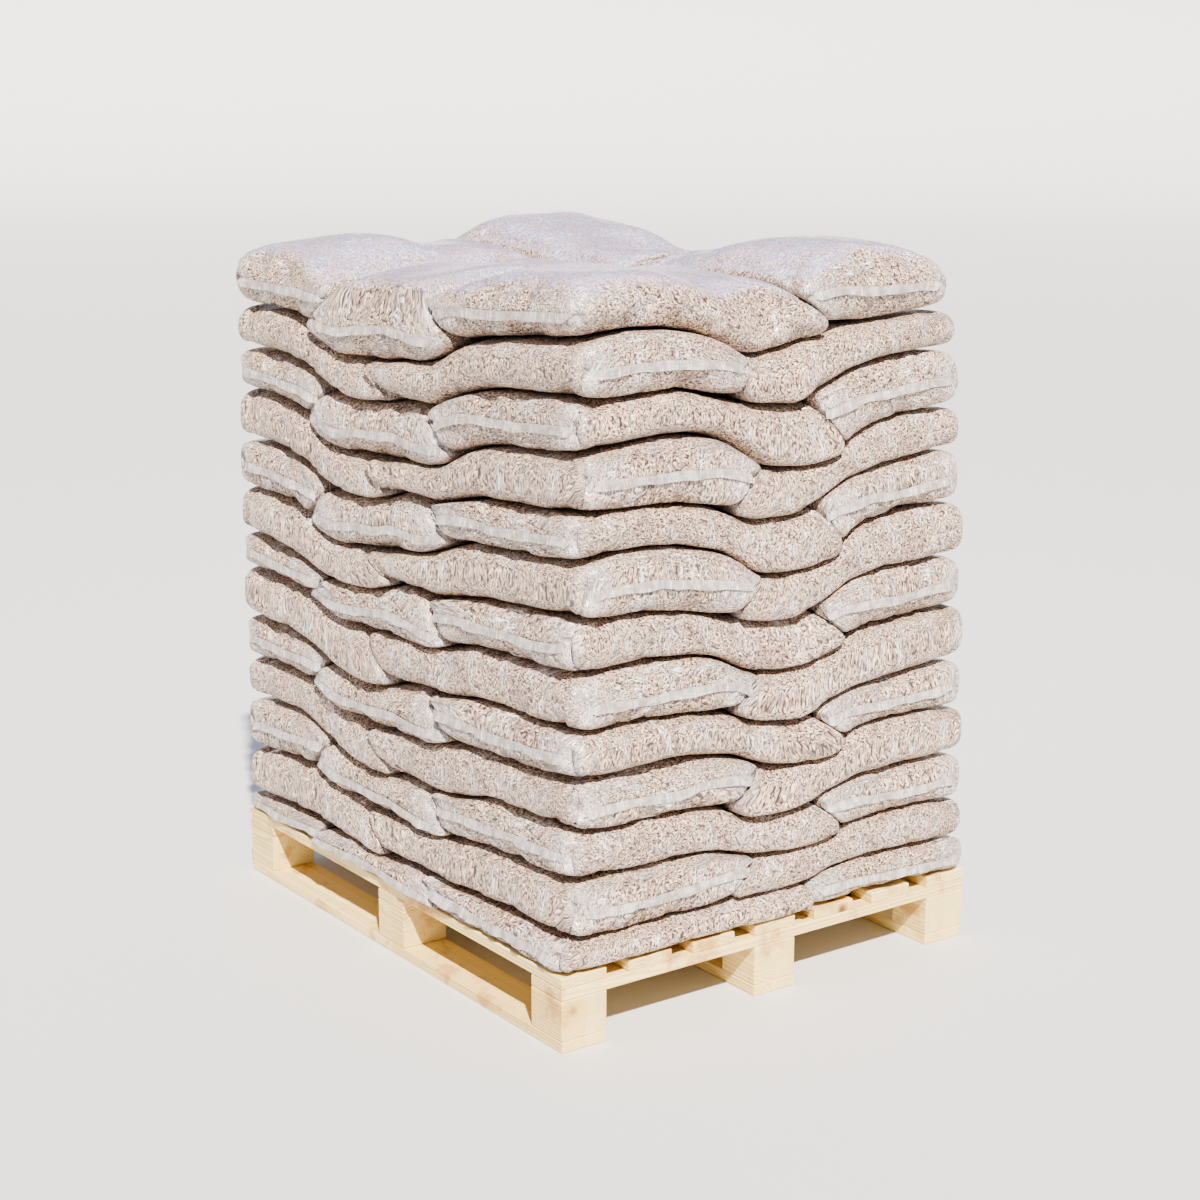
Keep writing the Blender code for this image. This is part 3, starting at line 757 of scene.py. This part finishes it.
def placeSack(layer, number, plan, kinds, finishes):
    shared = random.Random(layer)
    leans = [shared.random() for _ in range(4)]
    chance = random.Random(100 * layer + number)
    kind = kinds[chance.randrange(len(kinds))]
    turns = [(1, 1, 1), (-1, 1, -1)] if plan["outside"] <= 0 else [(1, -1, -1), (-1, -1, 1)]
    turned = turns[chance.randrange(2)]  # the fold with the broken pattern never faces out
    x, y, z = (kind["shape"] * turned).T
    along = np.array(plan["along"])
    across = np.array((-along[1], along[0]))
    height = sackHeights(layer, x, y, z)
    shoveLong, shoveWide = (sack["shove"] * (2 * chance.random() - 1) for _ in range(2))
    skew = sack["turn"] * (2 * chance.random() - 1)
    (longer, wider), (roomLong, roomWide) = sack["stretched"], plan["room"]
    localX = x * longer * roomLong / (2 * shell["halfLong"]) + shoveLong - skew * y
    localY = y * wider * roomWide / (2 * shell["halfWide"]) + shoveWide + skew * x
    middle = np.array(plan["mid"])
    spot = middle + localX[:, None] * along + localY[:, None] * across
    for joint in sackJoints(layer, plan, leans):
        height, spot = pressOn(height, spot, middle, joint)
    placed = laidInStack(layer, height, *spot.T)
    mesh = kind["mesh"].copy()
    mesh.vertices.foreach_set("co", placed.astype(np.float32).ravel())
    setPattern(mesh, placed, kind["ids"], (20 * chance.random(), 20 * chance.random()))
    mesh.update()
    mesh.shade_smooth()
    obj = addObject(f"sack_{layer:02d}_{number}", mesh)
    obj.data.materials.append(finishes["pellets"])
    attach(obj, "root")
    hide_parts(f"sack_layer_{layer:02d}")
    outerRow = kind["ids"] if turned[0] > 0 else kind["ids"][::-1]
    lowerSheet = 1 if turned[2] > 0 else 0
    outward = abs(plan["outside"]) * across
    tip = (placed[outerRow[-1, lowerSheet, 0]], -along, outward) if plan["outside"] else None
    makeSeam(f"seam_{layer:02d}_{number}", placed[outerRow[:, lowerSheet, :]], -along, finishes["seam"], chance, tip)


# welded seams at the outer ends

seam = {
    "width": 0.0170, "start": 0.010, "step": 0.007, "rows": 5, "thick": 0.0006, "fewest": 8,
    "standOff": 0.0016, "spread": 1.6, "above": 0.0015, "backAt": 0.002,
    "stiffOver": 0.045, "stiffFrom": 0.06, "endWidth": 0.35, "endZone": (-0.008, 0.018),
    "waves": ((31, 0.6), (67, 0.4)), "widthWave": 0.10, "crumples": 240, "crumpleOut": 0.002, "crumpleUp": 0.0015,
    "filmRows": 16, "smoothUnder": 40,
}

# the end of a sack's inner seam, which peeps out of the joint
tag = {
    "width": 0.030, "reach": 0.017, "shortest": 0.6, "longer": 0.8, "steps": 5, "slope": 0.55, "back": 0.25,
    "inside": 0.004, "droop": 0.5, "crumple": 0.0022, "crumples": 9,
}


def addFaces(strip, stripMap, grid, mapPlace):
    faces = []
    for i in range(len(grid) - 1):
        for r in range(len(grid[0]) - 1):
            corners = ((i, r), (i + 1, r), (i + 1, r + 1), (i, r + 1))
            face = strip.faces.new([grid[a][b] for a, b in corners])
            for loop, (a, b) in zip(face.loops, corners):
                loop[stripMap].uv = mapPlace(a, b)
            face.normal_update()
            faces.append(face)
    return faces


def addTag(strip, stripMap, tip, chance):
    corner, back, outward = (np.append(value, 0.0) if len(value) == 2 else value for value in tip)
    steps, phase = tag["steps"], 6.28 * chance.random()
    reach = tag["reach"] * (tag["shortest"] + tag["longer"] * chance.random())
    grid = []
    for i in range(steps + 1):
        row = []
        for r in range(steps + 1):
            u, v = i / steps, r / steps
            out = reach * v * (1 - tag["slope"] * u)
            up = tag["crumple"] * math.sin(tag["crumples"] * u + phase) * v - tag["droop"] * out * v
            backwards = tag["width"] * (u - tag["back"] * (1 - v))
            spot = corner + back * backwards + outward * (out - tag["inside"])
            row.append(strip.verts.new(spot + np.array((0, 0, up))))
        grid.append(row)
    faces = addFaces(strip, stripMap, grid, lambda a, b: (tag["width"] * a / steps, reach * b / steps))
    if sum(face.normal.z for face in faces) < 0:
        bmesh.ops.reverse_faces(strip, faces=faces)


def makeSeam(name, film, out, finish, chance, tip):
    # the strip hangs down from the sack's end seam, just clear of the film's rows below it
    out = np.array(out)
    line = film[0]
    lengths = runs(line, 0)
    weights = np.exp(-((lengths[:, None] - lengths[None, :]) / seam["stiffOver"]) ** 2)
    stiffer = weights @ line / weights.sum(axis=1, keepdims=True)
    inside = smoothStep(np.minimum(lengths, lengths[-1] - lengths), 0.0, seam["stiffFrom"])[:, None]
    line = line + (stiffer - line) * inside
    steps = max(seam["fewest"], int((lengths[-1] - 2 * seam["start"]) / seam["step"]))
    stops = np.linspace(seam["start"], lengths[-1] - seam["start"], steps)
    filmOut, filmZ = film[:seam["filmRows"], :, :2] @ out, film[:seam["filmRows"], :, 2]
    phases = [6.28 * chance.random() for _ in range(4)]
    strip = bmesh.new()
    stripMap = strip.loops.layers.uv.new("strip")
    rows = []
    for s in stops:
        ripe = smoothStep(min(s, lengths[-1] - s) - seam["start"], *seam["endZone"])
        wave = sum(share * math.sin(often * s + phase) for (often, share), phase in zip(seam["waves"], phases))
        crumple = (1 - ripe) * math.sin(seam["crumples"] * s + phases[2])
        start = np.array([np.interp(s, lengths, line[:, axis]) for axis in range(3)])
        column = np.interp(s, lengths, np.arange(len(lengths)))
        k = int(min(column, len(lengths) - 2))
        part = column - k
        outs, downs = (values[:, k] * (1 - part) + values[:, k + 1] * part for values in (filmOut, filmZ))
        order = np.argsort(downs)
        startOut, width = start[:2] @ out, seam["width"] * (seam["endWidth"] + (1 - seam["endWidth"]) * ripe)
        ring = []
        for r in range(seam["rows"]):
            t = r / (seam["rows"] - 1)
            z = start[2] + seam["above"] - width * t * (1 + seam["widthWave"] * wave)
            filmHere = np.interp(z, downs[order], outs[order])
            away = max(startOut - seam["backAt"] * t, filmHere)
            away += seam["standOff"] * (1 + seam["spread"] * t * (1 + wave))
            away += seam["crumpleOut"] * crumple * t
            planX, planY = start[:2] + out * (away - startOut)
            ring.append(strip.verts.new((planX, planY, z + seam["crumpleUp"] * crumple)))
        rows.append(ring)
    addFaces(strip, stripMap, rows, lambda a, b: (stops[a] + phases[3], seam["width"] * b / (seam["rows"] - 1)))
    if sum(np.dot(face.normal[:2], out) for face in strip.faces) < 0:
        bmesh.ops.reverse_faces(strip, faces=strip.faces)
    if tip:
        addTag(strip, stripMap, tip, chance)
    mesh = bpy.data.meshes.new(name)
    strip.to_mesh(mesh)
    strip.free()
    obj = addObject(name, mesh)
    selectOnly(obj)
    wall = obj.modifiers.new("Film", "SOLIDIFY")
    wall.thickness = seam["thick"]
    wall.offset = 1.0
    bpy.ops.object.modifier_apply(modifier=wall.name)
    bpy.ops.object.shade_smooth_by_angle(angle=math.radians(seam["smoothUnder"]))
    mesh.materials.append(finish)
    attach(obj, "root")


def makeSacks():
    finishes = {"pellets": pelletFilmFinish(), "seam": seamFinish()}
    kinds = [fillSack(kind) for kind in range(len(sack["pressures"]))]
    for layer in range(1, stack["layers"] + 1):
        for number, plan in enumerate(sackPlan(layer), 1):
            placeSack(layer, number, plan, kinds, finishes)
    print("sacks and seams placed")


# pallet

# a pair is for timber along X and for timber along Y
pineLook = {
    "pale": (0.96, 0.82, 0.44), "warm": (0.80, 0.52, 0.18), "late": (0.48, 0.24, 0.07), "knot": (0.14, 0.05, 0.02),
    "tints": ((0.80, 0.62, 0.38), (1.0, 0.93, 0.74)), "tinted": 0.45,
    "boards": ((9.0, 0.15, 0.06), (0.55, 9.0, 0.06)), "boardMoves": (0.3, 0.10),
    "flow": 14.0, "swayScale": 9.0, "sway": (0.10, 0.05), "log": 0.16, "logDepth": 0.3, "ring": 0.0042,
    "lateWood": (0.45, 0.95), "ringShare": 0.55,
    "fineFlow": 560.0, "fineScale": 420.0, "fine": (0.45, 0.75, 0.0, 0.30),
    "knotFlow": 2.6, "knotScale": 8.0, "knotMove": (0.03, 0.04, 0.02),
    "knotEdge": (0.08, 0.17, 1.0, 0.0), "knotHalo": (0.12, 0.36, 0.75, 0.0),
    "stain": (0.52, 0.27, 0.09), "stainScale": 11.0, "stains": (0.52, 0.66, 0.0, 0.70), "stainRelief": 0.8,
    "roughness": 0.62, "lateRoughness": 0.12, "relief": 0.0006,
}


def pineFinish(name, grain):
    # grain is the axis that the timber was sawn along, 0 for X and 1 for Y
    pine = Finish(name)
    look = pineLook

    def flowing(length):
        return (length, 1.0, 1.0) if grain == 0 else (1.0, length, 1.0)

    place = pine.node("ShaderNodeTexCoord", None, None, "Object")
    board = pine.vector("SNAP", place, look["boards"][grain])
    chances = pine.node("ShaderNodeTexWhiteNoise", {"noise_dimensions": "3D"}, {"Vector": board}, "Color")
    chances = pine.axes(chances)
    x, y, z = pine.axes(place)
    beside = y if grain == 0 else x
    sway = pine.noise(pine.mapped(place, size=flowing(look["flow"])), look["swayScale"], 2.0) - 0.5
    sideways = beside + sway * look["sway"][0] + chances[0] * look["boardMoves"][0]
    deeper = z + (chances[1] - 0.5) * look["boardMoves"][1] + sway * look["sway"][1]
    span = ((sideways / look["log"]).fraction() - 0.5) * look["log"]
    fromHeart = (span * span + deeper * deeper * look["logDepth"]).root()
    late = (fromHeart / look["ring"]).fraction().between(*look["lateWood"])
    fine = pine.noise(pine.mapped(place, size=flowing(look["fineFlow"])), look["fineScale"], 2.0)
    color = pine.mix(late * look["ringShare"], look["pale"], look["warm"])
    color = pine.mix(fine.between(*look["fine"]), color, look["late"])
    tint = pine.mix(chances[2], *look["tints"])
    color = pine.mix(look["tinted"], color, pine.mix(1.0, color, tint, "MULTIPLY"))
    knotPlace = pine.mapped(place, move=look["knotMove"], size=flowing(look["knotFlow"]))
    knots = pine.node("ShaderNodeTexVoronoi", {"voronoi_dimensions": "3D"},
                      {"Vector": knotPlace, "Scale": look["knotScale"]})
    color = pine.mix(knots.between(*look["knotHalo"]), color, look["warm"])
    color = pine.mix(knots.between(*look["knotEdge"]), color, look["knot"])
    stains = pine.noise(place, look["stainScale"], 4.0, 0.6)
    color = pine.mix(stains.between(*look["stains"]), color, look["stain"])
    pine.surface("Base Color", color)
    pine.surface("Roughness", look["roughness"] + late * look["lateRoughness"])
    fineBumps = pine.bump(fine, look["relief"])
    pine.surface("Normal", pine.bump(late + stains * look["stainRelief"], look["relief"], fineBumps))
    return pine.material


def finishPallet():
    alongX, alongY = pineFinish("pineAlongX", 0), pineFinish("pineAlongY", 1)
    for name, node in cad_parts.items():
        if name.startswith("sack"):
            continue
        node.data.materials.clear()
        node.data.materials.append(alongY if name.startswith("stringer") else alongX)
    print("pallet finished")


# nail heads

nail = {
    "radius": 0.0048, "depth": 0.0016, "proud": 0.00015, "sides": 14, "rim": 0.0009, "beside": 0.020, "across": 0.22,
    "deckBoards": 7, "stringerBoards": 3, "bottomRows": 3, "smoothUnder": 40,
    "steel": (0.36, 0.35, 0.34), "rust": (0.20, 0.11, 0.06), "rustScale": 260.0, "rusty": (0.5, 0.72),
    "roughness": (0.3, 0.8, 0.38, 0.65), "metallic": 0.85, "relief": 0.0002,
}


def nailFinish():
    steel = Finish("nailSteel")
    place = steel.node("ShaderNodeTexCoord", None, None, "Object")
    rust = steel.noise(place, nail["rustScale"], 3.0, 0.6)
    steel.surface("Base Color", steel.mix(rust.between(*nail["rusty"]), nail["steel"], nail["rust"]))
    steel.surface("Roughness", rust.between(*nail["roughness"]))
    steel.surface("Metallic", nail["metallic"])
    steel.surface("Normal", steel.bump(rust, nail["relief"]))
    return steel.material


def nailPair(board, beam, top):
    # two heads beside each other's line where a board crosses a beam
    low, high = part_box(board)
    near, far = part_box(beam)
    for side in (-1, 1):
        yield ((near.x + far.x) / 2 + side * nail["beside"],
               (low.y + high.y) / 2 + side * nail["across"] * (high.y - low.y),
               high.z if top else low.z, top)


def nailPlaces():
    columns = range(1, nail["stringerBoards"] + 1)
    for board in range(1, nail["deckBoards"] + 1):
        for column in columns:
            yield from nailPair(f"deck_board_{board}", f"stringer_board_{column}", True)
    for row in range(1, nail["bottomRows"] + 1):
        for column in columns:
            yield from nailPair(f"bottom_board_{row}", f"block_{row}_{column}", False)


def makeNails():
    bpy.ops.object.select_all(action="DESELECT")
    bpy.ops.mesh.primitive_cylinder_add(vertices=nail["sides"], radius=nail["radius"], depth=nail["depth"],
                                        location=(0, 0, nail["proud"] - nail["depth"] / 2))
    first = bpy.context.object
    bpy.ops.object.transform_apply(location=True)
    bpy.ops.object.mode_set(mode="EDIT")
    bpy.ops.mesh.select_all(action="DESELECT")
    shape = bmesh.from_edit_mesh(first.data)
    for edge in shape.edges:  # the rim of the head
        edge.select_set(all(vert.co.z > 0 for vert in edge.verts))
    bmesh.update_edit_mesh(first.data)
    bpy.ops.mesh.bevel(offset=nail["rim"], segments=2)
    bpy.ops.object.mode_set(mode="OBJECT")
    heads = []
    for x, y, z, upwards in nailPlaces():
        head = first.copy()
        head.data = first.data.copy()
        turn = Matrix.Rotation(0 if upwards else math.pi, 4, "X")
        head.data.transform(Matrix.Translation((x, y, z)) @ turn)
        bpy.context.scene.collection.objects.link(head)
        heads.append(head)
    bpy.data.objects.remove(first)
    selectOnly(*heads)
    bpy.ops.object.join()
    heads[0].name = "nail_heads"
    bpy.ops.object.shade_smooth_by_angle(angle=math.radians(nail["smoothUnder"]))
    heads[0].data.materials.append(nailFinish())
    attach(heads[0], "root")
    print("nail heads made")


makeCamera()
makeStudio()
makeSacks()
finishPallet()
makeNails()
